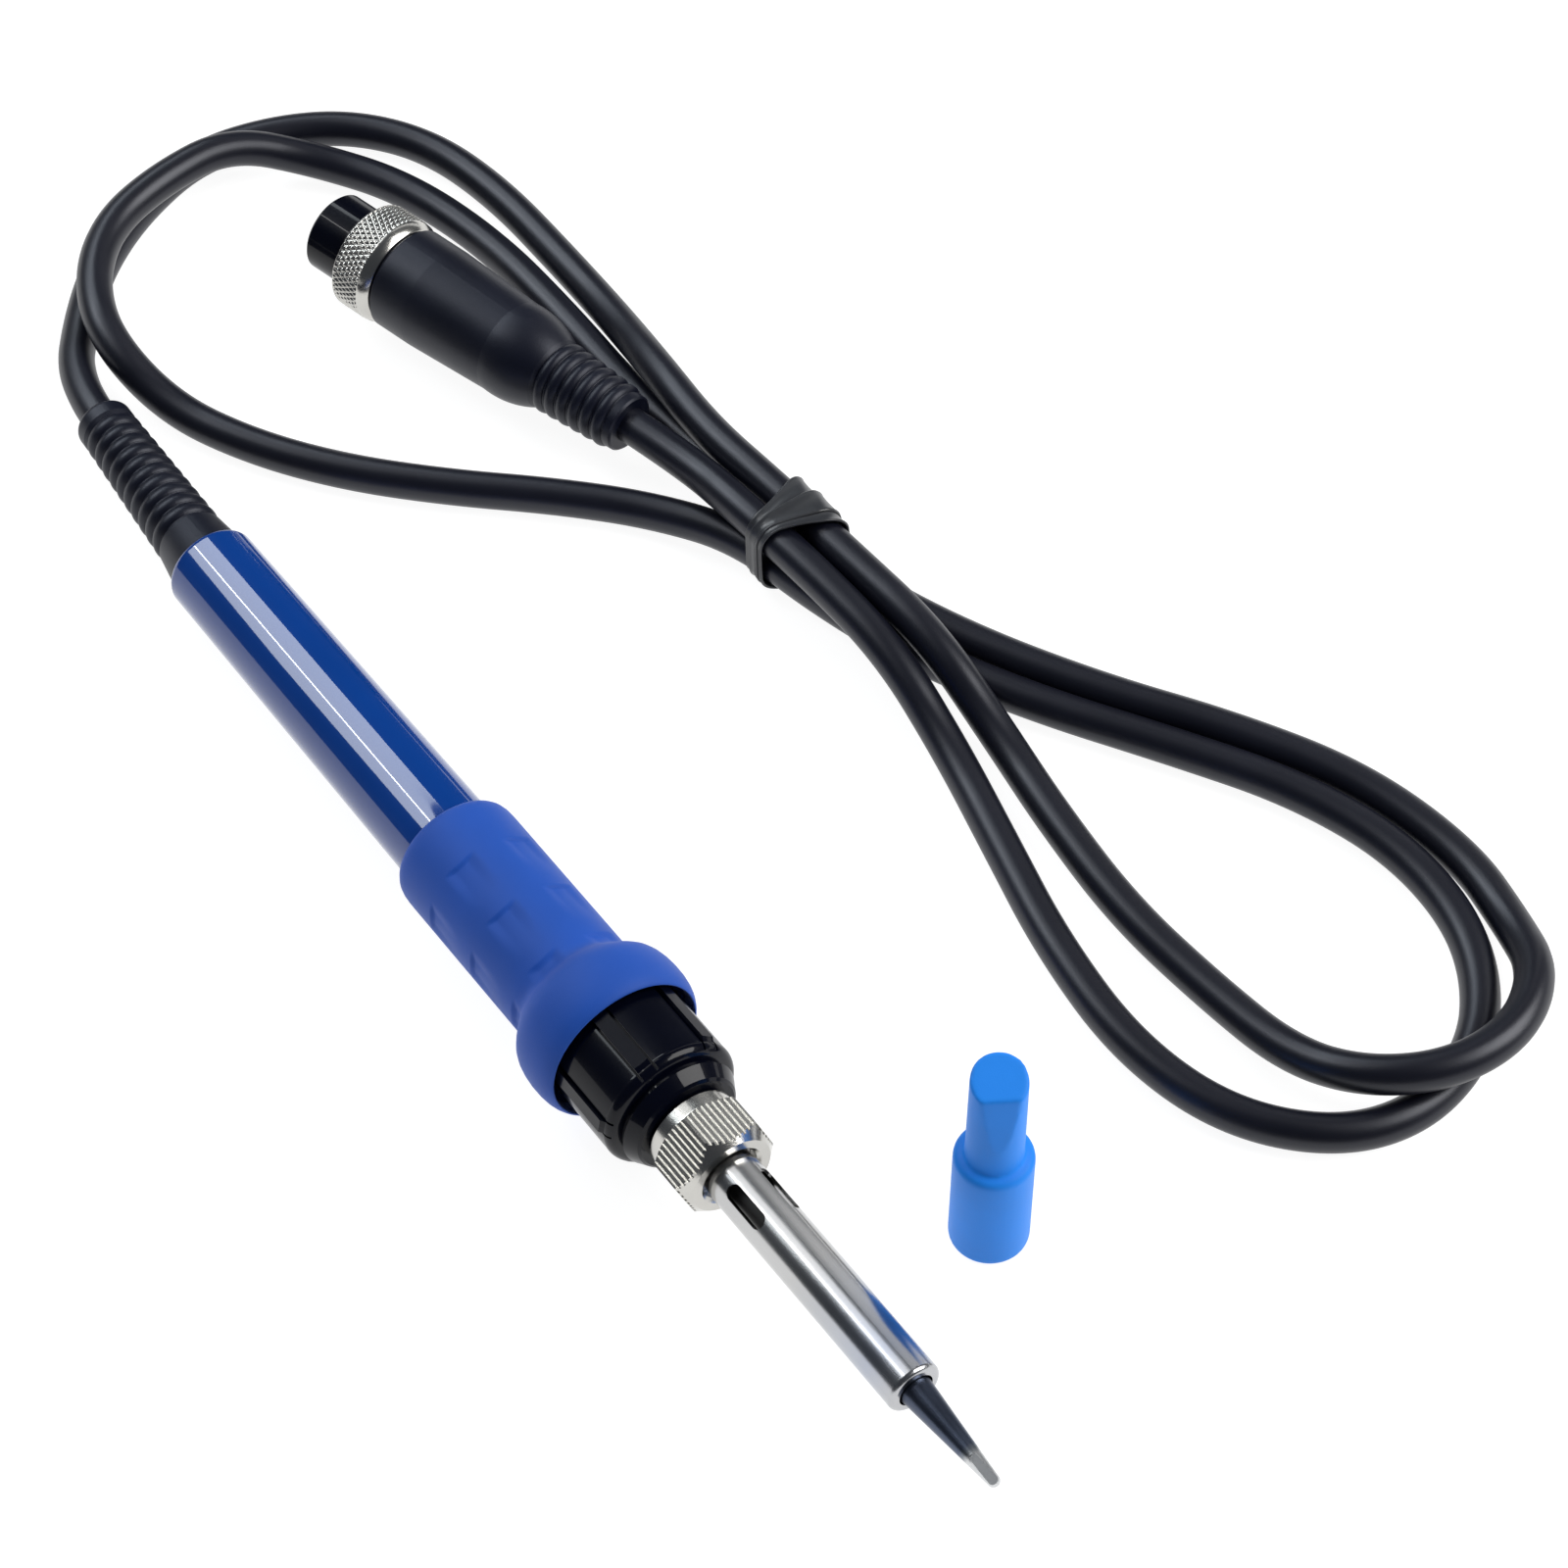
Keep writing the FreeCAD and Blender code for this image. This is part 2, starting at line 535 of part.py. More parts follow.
# ---------------------------------------------------------------- cap, cord and tie
def make_tip_cap():
    """Soft cap for the tip: a wide socket below a narrower, obliquely cut nose."""
    profile = turned([
        (0, 0), (0, CAP_R - 0.5), ((0.15, CAP_R - 0.15), (0.5, CAP_R)),
        (CAP_SHOULDER - 1.2, CAP_R - 0.05), ((CAP_SHOULDER - 0.3, CAP_R - 0.4), (CAP_SHOULDER, CAP_R - 1.2)),
        (CAP_SHOULDER, CAP_NECK_R + 0.1), (CAP_HEIGHT - 0.8, CAP_NECK_R),
        ((CAP_HEIGHT - 0.25, CAP_NECK_R - 0.25), (CAP_HEIGHT, CAP_NECK_R - 0.8)), (CAP_HEIGHT, 0),
    ])
    side_cut = block(CAP_SHOULDER + 4, CAP_HEIGHT + 5, 12, 0, 6)
    side_cut.rotate(Vector(CAP_SHOULDER + 4, 0, 0), Vector(0, 1, 0), 6)
    side_cut.translate(Vector(0, 0, 3.9))
    top_cut = block(0, 12, 14, -7, 7)
    top_cut.rotate(Vector(0, 0, 0), Vector(0, 1, 0), -18)
    top_cut.translate(Vector(CAP_HEIGHT - 1.3, 0, 0))
    socket = turned([(-1, 0), (-1, 3.95), (16.0, 3.95), (16.8, 2.7), (30.5, 1.5), (30.5, 0)])
    solid = profile.cut(side_cut).cut(top_cut).cut(socket)
    solid.rotate(Vector(0, 0, 0), Vector(0, 1, 0), -90)
    solid.rotate(Vector(0, 0, 0), Vector(0, 0, 1), 149)
    return solid


def cord_points(lie, plug_tail, plug_axis):
    """The whole route: straight out of the strain relief, the laid loops, straight in."""
    about = Rotation(Vector(0, 0, 1), -RELIEF_BEND)
    base = Vector(SHELL_REAR, 0, 0)
    first = [lie.multVec(base + about.multVec(Vector(s - SHELL_REAR, 0, 0))) for s in (0, -EXIT_RUN)]
    laid = [Vector(*point) for point in CORD_ROUTE]
    last = [plug_tail + plug_axis * PLUG_RUN, plug_tail]
    return first + laid + last


def rounded_path(points):
    """Straight runs joined by tangent arcs, with the list of the arcs' radii."""
    edges, radii = [], []
    here = points[0]
    for before, corner, after in zip(points, points[1:], points[2:]):
        back = (before - corner).normalize()
        ahead = (after - corner).normalize()
        half_turn = (math.pi - back.getAngle(ahead)) / 2
        reach = 0.45 * min(corner.distanceToPoint(before), corner.distanceToPoint(after))
        radius = reach / math.tan(half_turn)
        start = corner + back * reach
        end = corner + ahead * reach
        to_centre = (back + ahead).normalize()
        centre = corner + to_centre * (radius / math.cos(half_turn))
        middle = centre - to_centre * radius
        edges.append(Part.LineSegment(here, start).toShape())
        edges.append(Part.Arc(start, middle, end).toShape())
        radii.append(radius)
        here = end
    edges.append(Part.LineSegment(here, points[-1]).toShape())
    return Part.Wire(edges), radii


def make_cord(points):
    """The free cord as one round tube along its route."""
    path, radii = rounded_path(points)
    start = points[0]
    profile = Part.Face(Part.Wire([Part.Circle(start, points[1] - start, CORD_R).toShape()]))
    solid = path.makePipe(profile)
    expected = math.pi * CORD_R ** 2 * path.Length
    print("cord length", round(path.Length, 1), "volume / section x length", round(solid.Volume / expected, 4))
    print("bend radii", [round(radius) for radius in radii], "smallest", round(min(radii), 1))
    return solid


def make_cable_tie():
    """Plastic strip wound round the four strands where they run side by side."""
    half_width = 7.05
    low, high = TIE_THICK, TIE_HIGH + CORD_R + 0.5
    inner_r = CORD_R + 0.15

    def loop(margin, length):
        box = Part.makeBox(length, 2 * (half_width + margin), high - low + 2 * margin,
                           Vector(TIE_MIDDLE.x - length / 2, TIE_MIDDLE.y - half_width - margin, low - margin))
        along = [edge for edge in box.Edges if abs(edge.tangentAt(edge.FirstParameter).x) > 0.99]
        return box.makeFillet(inner_r + margin, along)

    return loop(TIE_THICK, TIE_WIDTH).cut(loop(0.0, TIE_WIDTH + 4))


# ---------------------------------------------------------------- assembly
ON_IRON = {
    "tip": make_tip, "tip_enclosure": make_tip_enclosure, "nut": make_nut, "nose": make_nose,
    "thread_ferrule": make_thread_ferrule, "heater_bush": make_heater_bush, "heater_rod": make_heater_rod,
    "heater_base": make_heater_base, "heater_leads": make_heater_leads, "lead_sleeves": make_lead_sleeves,
    "earth_spring": make_earth_spring, "terminal_board": make_terminal_board, "board_pins": make_board_pins,
    "cord_wires": make_cord_wires, "cord_clamp": make_cord_clamp, "clamp_screw": make_clamp_screw,
    "cord_tail": make_cord_tail, "handle_shell": make_handle_shell, "grip_sleeve": make_grip_sleeve,
    "strain_relief": make_strain_relief,
}
ON_PLUG = {
    "plug_boot": make_plug_boot, "plug_shell": make_plug_shell, "coupling_ring": make_coupling_ring,
    "plug_barrel": make_plug_barrel, "plug_insert": make_plug_insert, "plug_contacts": make_plug_contacts,
    "plug_wires": make_plug_wires, "plug_crimp": make_plug_crimp, "plug_cord_tail": make_plug_cord_tail,
}


def iron_placement():
    """Lays the iron's axis on the bench, so that flange and shell rim just touch it."""
    lie = Placement(Vector(0, 0, 0), Rotation(Vector(0, 1, 0), -math.degrees(TILT)))
    lowest = 0.0
    for shape in (make_grip_sleeve(), make_handle_shell()):
        shape.Placement = lie
        lowest = min(lowest, shape.optimalBoundingBox(False).ZMin)
    lie.Base = Vector(0, 0, -lowest)
    return lie


def plug_placement():
    """Lays the plug with its tail at PLUG_TAIL; returns it with its axis to the cord."""
    turn = Rotation(Vector(0, 0, 1), PLUG_HEADING).multiply(Rotation(Vector(0, 1, 0), PLUG_DIP))
    axis = turn.multVec(Vector(1, 0, 0))
    return Placement(PLUG_TAIL - axis * PLUG_LENGTH, turn), axis


def write(name, shape):
    """Moves a finished shape to the model's origin and writes it."""
    shape = shape.copy()
    shape.translate(ORIGIN * -1)
    shape.exportStep(os.path.join("parts", name + ".step"))
    return shape


def main():
    os.makedirs("parts", exist_ok=True)
    lie = iron_placement()
    plug_lie, plug_axis = plug_placement()
    own = []
    for name, make in ON_IRON.items():
        shape = make()
        shape.Placement = lie.multiply(shape.Placement)
        own.append(write(name, shape))
    cap = make_tip_cap()
    cap.translate(CAP_AT)
    own.append(write("tip_cap", cap))
    for name, make in ON_PLUG.items():
        shape = make()
        shape.Placement = plug_lie.multiply(shape.Placement)
        write(name, shape)
    route = cord_points(lie, PLUG_TAIL, plug_axis)
    write("cord", make_cord(route))
    write("cable_tie", make_cable_tie())
    footprint = Part.makeCompound(own).optimalBoundingBox(False)
    print("axis height at the rear", round(lie.Base.z, 3), "tilt", round(math.degrees(TILT), 3))
    print("cord leaves at", [round(v, 3) for v in route[0]], "and runs to", [round(v, 3) for v in route[1]])
    print("iron and cap from", [round(v, 2) for v in (footprint.XMin, footprint.YMin, footprint.ZMin)],
          "to", [round(v, 2) for v in (footprint.XMax, footprint.YMax, footprint.ZMax)])


main()
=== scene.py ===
import bmesh
import bpy
import math
from mathutils import Matrix, Vector

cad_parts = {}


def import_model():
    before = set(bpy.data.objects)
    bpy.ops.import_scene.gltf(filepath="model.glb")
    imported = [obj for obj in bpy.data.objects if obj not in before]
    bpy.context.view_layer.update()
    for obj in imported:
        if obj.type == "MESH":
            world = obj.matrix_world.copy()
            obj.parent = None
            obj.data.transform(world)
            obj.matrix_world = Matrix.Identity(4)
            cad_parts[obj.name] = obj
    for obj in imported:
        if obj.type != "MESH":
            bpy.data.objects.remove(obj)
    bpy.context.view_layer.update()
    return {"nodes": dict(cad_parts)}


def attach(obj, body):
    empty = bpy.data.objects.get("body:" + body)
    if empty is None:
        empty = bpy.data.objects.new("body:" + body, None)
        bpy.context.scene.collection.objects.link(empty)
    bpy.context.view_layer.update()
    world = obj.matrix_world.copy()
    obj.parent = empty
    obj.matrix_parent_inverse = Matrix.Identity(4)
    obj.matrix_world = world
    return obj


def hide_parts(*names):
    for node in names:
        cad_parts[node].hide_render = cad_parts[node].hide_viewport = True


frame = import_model()

# ---------------------------------------------------------------- places, in mm and stations along the iron
MM = 0.001
ORIGIN = Vector((111.36, 10.14, 0.0))
SHELL_REAR = 35.5
SHELL_REAR_R = 6.8
SHELL_RIM_R = 1.1
FLANGE_MIDDLE = 138.9
FLANGE_R = 12.2

# The iron lies on its grip flange and on the rear rim of its shell.
REAR_HEIGHT = 4.943
TILT = math.asin((FLANGE_R - SHELL_REAR_R) / (FLANGE_MIDDLE - SHELL_REAR - SHELL_RIM_R))
RELIEF_BEND = math.radians(3.05)
IRON = (Matrix.Translation((Vector((0, 0, REAR_HEIGHT)) - ORIGIN) * MM)
        @ Matrix.Rotation(-TILT, 4, "Y") @ Matrix.Scale(MM, 4))

PLUG_TAIL = Vector((47.9, 64.2, 7.8))
PLUG_LENGTH = 60.7
PLUG_TURN = math.radians(14.4)
PLUG_DROOP = math.radians(1.0)
PLUG = (Matrix.Translation((PLUG_TAIL - ORIGIN) * MM) @ Matrix.Rotation(PLUG_TURN, 4, "Z")
        @ Matrix.Rotation(PLUG_DROOP, 4, "Y") @ Matrix.Scale(MM, 4)
        @ Matrix.Translation((-PLUG_LENGTH, 0, 0)))

# Heights of the cord's middle: on the bench, over one strand, and in the two layers of the tie.
CORD_R = 2.75
ON_BENCH = CORD_R
OVER = 8.7
TIE_LOW = 3.75
TIE_HIGH = 9.5

# Control points from the strain relief to the plug.
CORD_ROUTE = [
    (-21.6, 10.1, 3), (-30.9, 18.5, ON_BENCH), (-38.2, 29.3, ON_BENCH), (-43.1, 42.7, ON_BENCH),
    (-40.9, 55.6, ON_BENCH), (-34.9, 66.5, ON_BENCH), (-23.9, 74.3, ON_BENCH),
    (-8.4, 77.3, ON_BENCH), (9.5, 77.4, ON_BENCH), (25.5, 76.5, 4), (41.3, 73.7, 8.2),
    (56.4, 72.3, 8.8), (71.5, 73.3, TIE_HIGH), (88.8, 74.5, TIE_HIGH), (107.3, 75.6, 9.6),
    (124.1, 75.9, ON_BENCH), (139.4, 73.4, ON_BENCH), (157.4, 71.6, ON_BENCH),
    (174.1, 72.8, ON_BENCH), (189.1, 74.2, 4.1), (199.2, 78.5, 7.4), (205.4, 87.8, 8.9),
    (205.5, 99, 8.9), (199.4, 108.3, 7.4), (189.7, 112.6, 3.8), (176.5, 115.6, ON_BENCH),
    (158.3, 112.4, ON_BENCH), (141.3, 103.5, ON_BENCH), (124.7, 92.3, ON_BENCH),
    (105.9, 82.3, ON_BENCH), (88.2, 75.3, TIE_LOW), (71.4, 74, TIE_LOW), (55.4, 72.2, ON_BENCH),
    (38.3, 70.3, ON_BENCH), (19.3, 70.8, ON_BENCH), (0.3, 70.3, ON_BENCH),
    (-18.1, 66.1, ON_BENCH), (-30.9, 57.6, 3.5), (-37.3, 46.1, 8.5), (-36.1, 32.9, OVER),
    (-31.9, 21.4, OVER), (-22.8, 13.2, OVER), (-10.9, 9.4, 8.1), (1.8, 12.1, 3.1),
    (15.1, 18.1, ON_BENCH), (27.6, 26.8, ON_BENCH), (39.1, 37.9, ON_BENCH),
    (49.6, 49.8, ON_BENCH), (60, 59.8, ON_BENCH), (72.4, 67.1, TIE_LOW), (88.5, 69.8, TIE_LOW),
    (104.6, 75.3, ON_BENCH), (121.4, 83.7, ON_BENCH), (138.4, 94.6, ON_BENCH),
    (154.6, 104.3, ON_BENCH), (171.6, 109.4, ON_BENCH), (188.3, 107.4, ON_BENCH),
    (201, 97.9, ON_BENCH), (205.7, 84.7, ON_BENCH), (202.7, 72.2, ON_BENCH),
    (191.5, 62, ON_BENCH), (175.3, 58.2, ON_BENCH), (156.3, 60.2, ON_BENCH),
    (138.3, 64.7, ON_BENCH), (121.4, 68.9, ON_BENCH), (105.4, 69.8, 8.4), (88.2, 68.8, TIE_HIGH),
    (71.9, 67.3, 9.6),
]


def world(point):
    """A point of the plan, in mm from the strain relief's foot, in the row's frame."""
    return (Vector(point) - ORIGIN) * MM


# ---------------------------------------------------------------- camera
SENSOR_WIDTH = 36.0
LENS = 94.93
CAMERA_AT = (402.25, -157.05, 455.57)
CAMERA_HEADING = (-0.8181, 0.575)
CAMERA_DOWN = math.radians(52)


def add_camera():
    data = bpy.data.cameras.new("camera")
    data.sensor_width = SENSOR_WIDTH
    data.lens = LENS
    data.clip_end = 20.0
    camera = bpy.data.objects.new("camera", data)
    bpy.context.collection.objects.link(camera)
    level = math.cos(CAMERA_DOWN)
    forward = Vector((CAMERA_HEADING[0] * level, CAMERA_HEADING[1] * level, -math.sin(CAMERA_DOWN)))
    camera.rotation_euler = forward.to_track_quat("-Z", "Y").to_euler()
    camera.location = world(CAMERA_AT)
    bpy.context.scene.camera = camera


add_camera()


# ---------------------------------------------------------------- materials
def noise_node(tree, coordinates, scale, detail=3.0, stretch=(1, 1, 1)):
    """Noise in object space, scale in cycles per metre."""
    mapping = tree.nodes.new("ShaderNodeMapping")
    mapping.inputs["Scale"].default_value = stretch
    tree.links.new(coordinates.outputs["Object"], mapping.inputs["Vector"])
    noise = tree.nodes.new("ShaderNodeTexNoise")
    noise.inputs["Scale"].default_value = scale
    noise.inputs["Detail"].default_value = detail
    tree.links.new(mapping.outputs["Vector"], noise.inputs["Vector"])
    return noise


def ramp_node(tree, source, stops):
    """A colour ramp over a value, from (place, colour) stops."""
    ramp = tree.nodes.new("ShaderNodeValToRGB")
    elements = ramp.color_ramp.elements
    while len(elements) < len(stops):
        elements.new(0.5)
    for element, (place, colour) in zip(elements, stops):
        element.position = place
        element.color = (*colour, 1.0)
    tree.links.new(source, ramp.inputs["Fac"])
    return ramp


def surface(name, colour, rough, vary=0.06, patch=90.0, grain=2500.0, bump=0.05, rough_vary=0.05,
            stretch=(1, 1, 1), **sockets):
    """A material with slow colour patches, uneven roughness and a fine grain."""
    material = bpy.data.materials.new(name)
    material.use_nodes = True
    tree = material.node_tree
    shader = tree.nodes["Principled BSDF"]
    for socket, value in sockets.items():
        shader.inputs[socket.replace("_", " ")].default_value = value
    coordinates = tree.nodes.new("ShaderNodeTexCoord")
    patches = noise_node(tree, coordinates, patch, 4.0)
    low = tuple(c * (1 - vary) for c in colour)
    high = tuple(min(1.0, c * (1 + vary)) for c in colour)
    tint = ramp_node(tree, patches.outputs["Fac"], [(0.3, low), (0.7, high)])
    tree.links.new(tint.outputs["Color"], shader.inputs["Base Color"])
    fine = noise_node(tree, coordinates, grain, 2.0, stretch)
    spread = tree.nodes.new("ShaderNodeMapRange")
    spread.inputs["To Min"].default_value = max(0.0, rough - rough_vary)
    spread.inputs["To Max"].default_value = min(1.0, rough + rough_vary)
    tree.links.new(patches.outputs["Fac"], spread.inputs["Value"])
    tree.links.new(spread.outputs["Result"], shader.inputs["Roughness"])
    relief = tree.nodes.new("ShaderNodeBump")
    relief.inputs["Strength"].default_value = bump
    relief.inputs["Distance"].default_value = 0.0001
    tree.links.new(fine.outputs["Fac"], relief.inputs["Height"])
    tree.links.new(relief.outputs["Normal"], shader.inputs["Normal"])
    return material


def axial_tint(material, stops, start, end, wobble=0.0004):
    """Multiplies a material's colour by a ramp along the iron, start to end in stations."""
    tree = material.node_tree
    shader = tree.nodes["Principled BSDF"]
    coordinates = next(n for n in tree.nodes if n.type == "TEX_COORD")
    split = tree.nodes.new("ShaderNodeSeparateXYZ")
    tree.links.new(coordinates.outputs["Object"], split.inputs["Vector"])
    uneven = noise_node(tree, coordinates, 500.0, 3.0)
    shift = tree.nodes.new("ShaderNodeMath")
    shift.operation = "MULTIPLY_ADD"
    shift.inputs[1].default_value = wobble
    tree.links.new(uneven.outputs["Fac"], shift.inputs[0])
    tree.links.new(split.outputs["X"], shift.inputs[2])
    along = tree.nodes.new("ShaderNodeMapRange")
    along.inputs["From Min"].default_value = (IRON @ Vector((start, 0, 0))).x
    along.inputs["From Max"].default_value = (IRON @ Vector((end, 0, 0))).x
    tree.links.new(shift.outputs["Value"], along.inputs["Value"])
    ramp = ramp_node(tree, along.outputs["Result"], stops)
    mix = tree.nodes.new("ShaderNodeMix")
    mix.data_type = "RGBA"
    mix.blend_type = "MULTIPLY"
    mix.inputs["Factor"].default_value = 1.0
    tree.links.new(shader.inputs["Base Color"].links[0].from_socket, mix.inputs["A"])
    tree.links.new(ramp.outputs["Color"], mix.inputs["B"])
    tree.links.new(mix.outputs["Result"], shader.inputs["Base Color"])


# Outer plastics, rubbers and metals, then those of the pieces inside.
BLUE_GLOSS = surface("blue gloss plastic", (0.0003, 0.042, 0.25), 0.3, vary=0.04, grain=900, bump=0.02,
                     Specular_IOR_Level=0.05, Coat_Weight=1.0, Coat_Roughness=0.035, Coat_IOR=1.6)
BLUE_GRIP = surface("blue grip rubber", (0.01, 0.078, 0.43), 0.6, vary=0.05, grain=9000, bump=0.3,
                    Specular_IOR_Level=0.25, Sheen_Weight=0.1, Sheen_Roughness=0.5)
BLUE_CAP = surface("blue silicone", (0.018, 0.25, 0.88), 0.5, vary=0.04, grain=5000, bump=0.12,
                   Specular_IOR_Level=0.2, Sheen_Weight=0.04, Sheen_Roughness=0.4)
BLACK_GLOSS = surface("black gloss plastic", (0.001, 0.0016, 0.006), 0.3, vary=0.2, grain=1200, bump=0.03,
                      Specular_IOR_Level=0.06, Coat_Weight=0.34, Coat_Roughness=0.06)
BLACK_RUBBER = surface("black satin rubber", (0.002, 0.003, 0.01), 0.42, vary=0.15, grain=6000, bump=0.12,
                       Specular_IOR_Level=0.42, Specular_Tint=(0.86, 0.89, 1.0, 1.0))
CORD_BLACK = surface("black cord jacket", (0.003, 0.0035, 0.009), 0.38, vary=0.15, patch=60, grain=4000,
                     bump=0.08, Specular_IOR_Level=0.52, Specular_Tint=(0.9, 0.92, 1.0, 1.0))
TIE_GREY = surface("grey tie plastic", (0.035, 0.037, 0.042), 0.3, vary=0.12, grain=3000, bump=0.1)
NICKEL = surface("bright nickel", (0.56, 0.55, 0.52), 0.2, vary=0.05, grain=3500, bump=0.06,
                 rough_vary=0.08, Metallic=1.0)
STEEL = surface("polished steel tube", (0.52, 0.52, 0.52), 0.22, vary=0.05, grain=1500, bump=0.06,
                rough_vary=0.06, stretch=(0.15, 1, 1), Metallic=1.0)
TIP_PLATE = surface("dark tip plating", (0.6, 0.61, 0.62), 0.32, vary=0.08, grain=4000, bump=0.12,
                    rough_vary=0.1, Metallic=1.0)

GILT = surface("gilt contact", (0.83, 0.6, 0.25), 0.25, Metallic=1.0)
PLATED_BRASS = surface("plated brass", (0.7, 0.64, 0.48), 0.28, Metallic=1.0)
CERAMIC = surface("fired ceramic", (0.82, 0.80, 0.74), 0.55, grain=4000, bump=0.15)
# The heater rod seen through the tube's slots is pale ceramic, painted near-black as painted shade for the
# dark inside of the tube.
HEATER_PAINTED_SHADE = surface("heater ceramic painted dark as shade", (0.035, 0.033, 0.032), 0.6, grain=4000, bump=0.15)
BARE_WIRE = surface("drawn wire", (0.55, 0.54, 0.52), 0.3, grain=8000, Metallic=1.0)
GLASS_SLEEVE = surface("woven glass sleeve", (0.8, 0.79, 0.72), 0.8, vary=0.1, grain=3500, bump=0.8)
BOARD = surface("board laminate", (0.03, 0.17, 0.08), 0.4, grain=2500, bump=0.2)
WIRE_RED = surface("wire insulation", (0.5, 0.05, 0.04), 0.45)
INSULATOR = surface("moulded insulator", (0.015, 0.015, 0.016), 0.5, bump=0.15)
NYLON = surface("white nylon", (0.75, 0.74, 0.7), 0.5, bump=0.1)
SPRING = surface("spring steel", (0.5, 0.5, 0.52), 0.25, Metallic=1.0)

# The tube is faintly blued near its front, and the cone is dark up to its tinned end.
axial_tint(STEEL, [(0.0, (1, 1, 1)), (0.45, (0.9, 0.93, 1.0)), (0.75, (0.82, 0.87, 1.0)),
                   (1.0, (0.92, 0.93, 0.96))], 186.0, 206.9)
axial_tint(TIP_PLATE, [(0.0, (0.12, 0.14, 0.2)), (0.68, (0.16, 0.19, 0.27)), (0.72, (0.35, 0.38, 0.42)),
                       (0.76, (1, 1, 1))], 205.0, 223.2)

FINISH = {
    "tip": TIP_PLATE, "tip_enclosure": STEEL, "nut": NICKEL, "nose": BLACK_GLOSS,
    # The heater rod gets the ceramic painted dark as shade for the inside of the tube.
    "thread_ferrule": PLATED_BRASS, "heater_bush": CERAMIC, "heater_rod": HEATER_PAINTED_SHADE,
    "heater_base": CERAMIC, "heater_leads": BARE_WIRE, "lead_sleeves": GLASS_SLEEVE, "earth_spring": SPRING,
    "terminal_board": BOARD, "board_pins": PLATED_BRASS, "cord_wires": WIRE_RED, "cord_clamp": NYLON,
    "clamp_screw": BARE_WIRE, "cord_tail": CORD_BLACK, "handle_shell": BLUE_GLOSS,
    "strain_relief": BLACK_RUBBER, "plug_boot": BLACK_RUBBER, "plug_shell": PLATED_BRASS,
    "plug_barrel": BLACK_GLOSS, "plug_insert": INSULATOR, "plug_contacts": GILT, "plug_wires": WIRE_RED,
    "plug_crimp": PLATED_BRASS, "plug_cord_tail": CORD_BLACK,
}


def finish_nodes():
    """Gives each solid that is shown as it is its material."""
    for name, material in FINISH.items():
        node = frame["nodes"][name]
        for material_slot in node.material_slots:
            material_slot.material = material


# ---------------------------------------------------------------- mesh helpers
def new_piece(name, mesh, material):
    """A smooth-shaded object made of a mesh."""
    mesh.materials.append(material)
    piece = bpy.data.objects.new(name, mesh)
    bpy.context.collection.objects.link(piece)
    for polygon in mesh.polygons:
        polygon.use_smooth = True
    return piece


def lathe(name, place, stations, radius, steps, material):
    """A skin about the X axis of place: radius(index, station, angle) at each grid point."""
    vertices = []
    for index, station in enumerate(stations):
        for step in range(steps):
            angle = 2 * math.pi * step / steps
            r = radius(index, station, angle)
            vertices.append(place @ Vector((station, -r * math.sin(angle), r * math.cos(angle))))
    faces = []
    for ring in range(len(stations) - 1):
        for step in range(steps):
            after = (step + 1) % steps
            faces.append((ring * steps + step, ring * steps + after,
                          (ring + 1) * steps + after, (ring + 1) * steps + step))
    mesh = bpy.data.meshes.new(name)
    mesh.from_pydata(vertices, [], faces)
    mesh.update()
    return new_piece(name, mesh, material)


def smooth_step(low, high, value):
    """0 below low, 1 above high and an even S between them."""
    share = min(1.0, max(0.0, (value - low) / (high - low)))
    return share * share * (3 - 2 * share)


# ---------------------------------------------------------------- cord
def sagged(station):
    """A point of the iron's axis behind the handle, where the strain relief bends sideways."""
    behind = Vector((station - SHELL_REAR, 0, 0))
    return Matrix.Rotation(-RELIEF_BEND, 3, "Z") @ behind + Vector((SHELL_REAR, 0, 0))


def add_cord():
    """The free cord, and the point where it comes out of the strain relief."""
    plug_axis = (PLUG.to_3x3() @ Vector((1, 0, 0))).normalized()
    rear = IRON @ sagged(0)
    tail = PLUG @ Vector((PLUG_LENGTH, 0, 0))
    ends = [rear, IRON @ sagged(-10)], [tail + plug_axis * 12 * MM, tail]
    points = ends[0] + [world(point) for point in CORD_ROUTE] + ends[1]
    data = bpy.data.curves.new("free_cord", "CURVE")
    data.dimensions = "3D"
    data.bevel_depth = CORD_R * MM
    data.bevel_resolution = 8
    data.resolution_u = 14
    spline = data.splines.new("NURBS")
    spline.points.add(len(points) - 1)
    for control, point in zip(spline.points, points):
        control.co = (*point, 1.0)
    spline.order_u = 3
    spline.use_endpoint_u = True
    data.materials.append(CORD_BLACK)
    cord = bpy.data.objects.new("free_cord", data)
    bpy.context.collection.objects.link(cord)
    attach(cord, "handle")
    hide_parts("cord")
    return cord, rear


CORD, CORD_EXIT = add_cord()


# ---------------------------------------------------------------- grip
# Outlines as (station, radius).
GRIP_REAR_EDGE = [
    (101.0, 7.23), (101.0, 7.5), (101.05, 7.85), (101.2, 8.25), (101.5, 8.6), (102.0, 8.88), (102.7, 9.03),
    (103.6, 9.09), (104.6, 9.1),
]
GRIP_FLARE = [
    (130.6, 9.04), (131.4, 9.1), (132.1, 9.32), (132.8, 9.8), (133.5, 10.45), (134.2, 11.0), (135.0, 11.48),
    (136.0, 11.85), (137.2, 12.08), (138.6, 12.19), (140.2, 12.16), (141.4, 12.0), (142.2, 11.78),
    (142.8, 11.5), (143.15, 11.25), (143.29, 11.05), (143.2, 10.94), (143.0, 10.9), (141.0, 10.9),
]
GRIP_STEP = 0.22
GRIP_TAPER = 0.002
SCOOP_RINGS = (110.6, 120.6, 130.6)
SCOOP_COLUMNS = 6
SCOOP_TURN = math.radians(24.5)
SCOOP_HALF_WIDTH = 0.62
SCOOP_DEPTH = 0.36


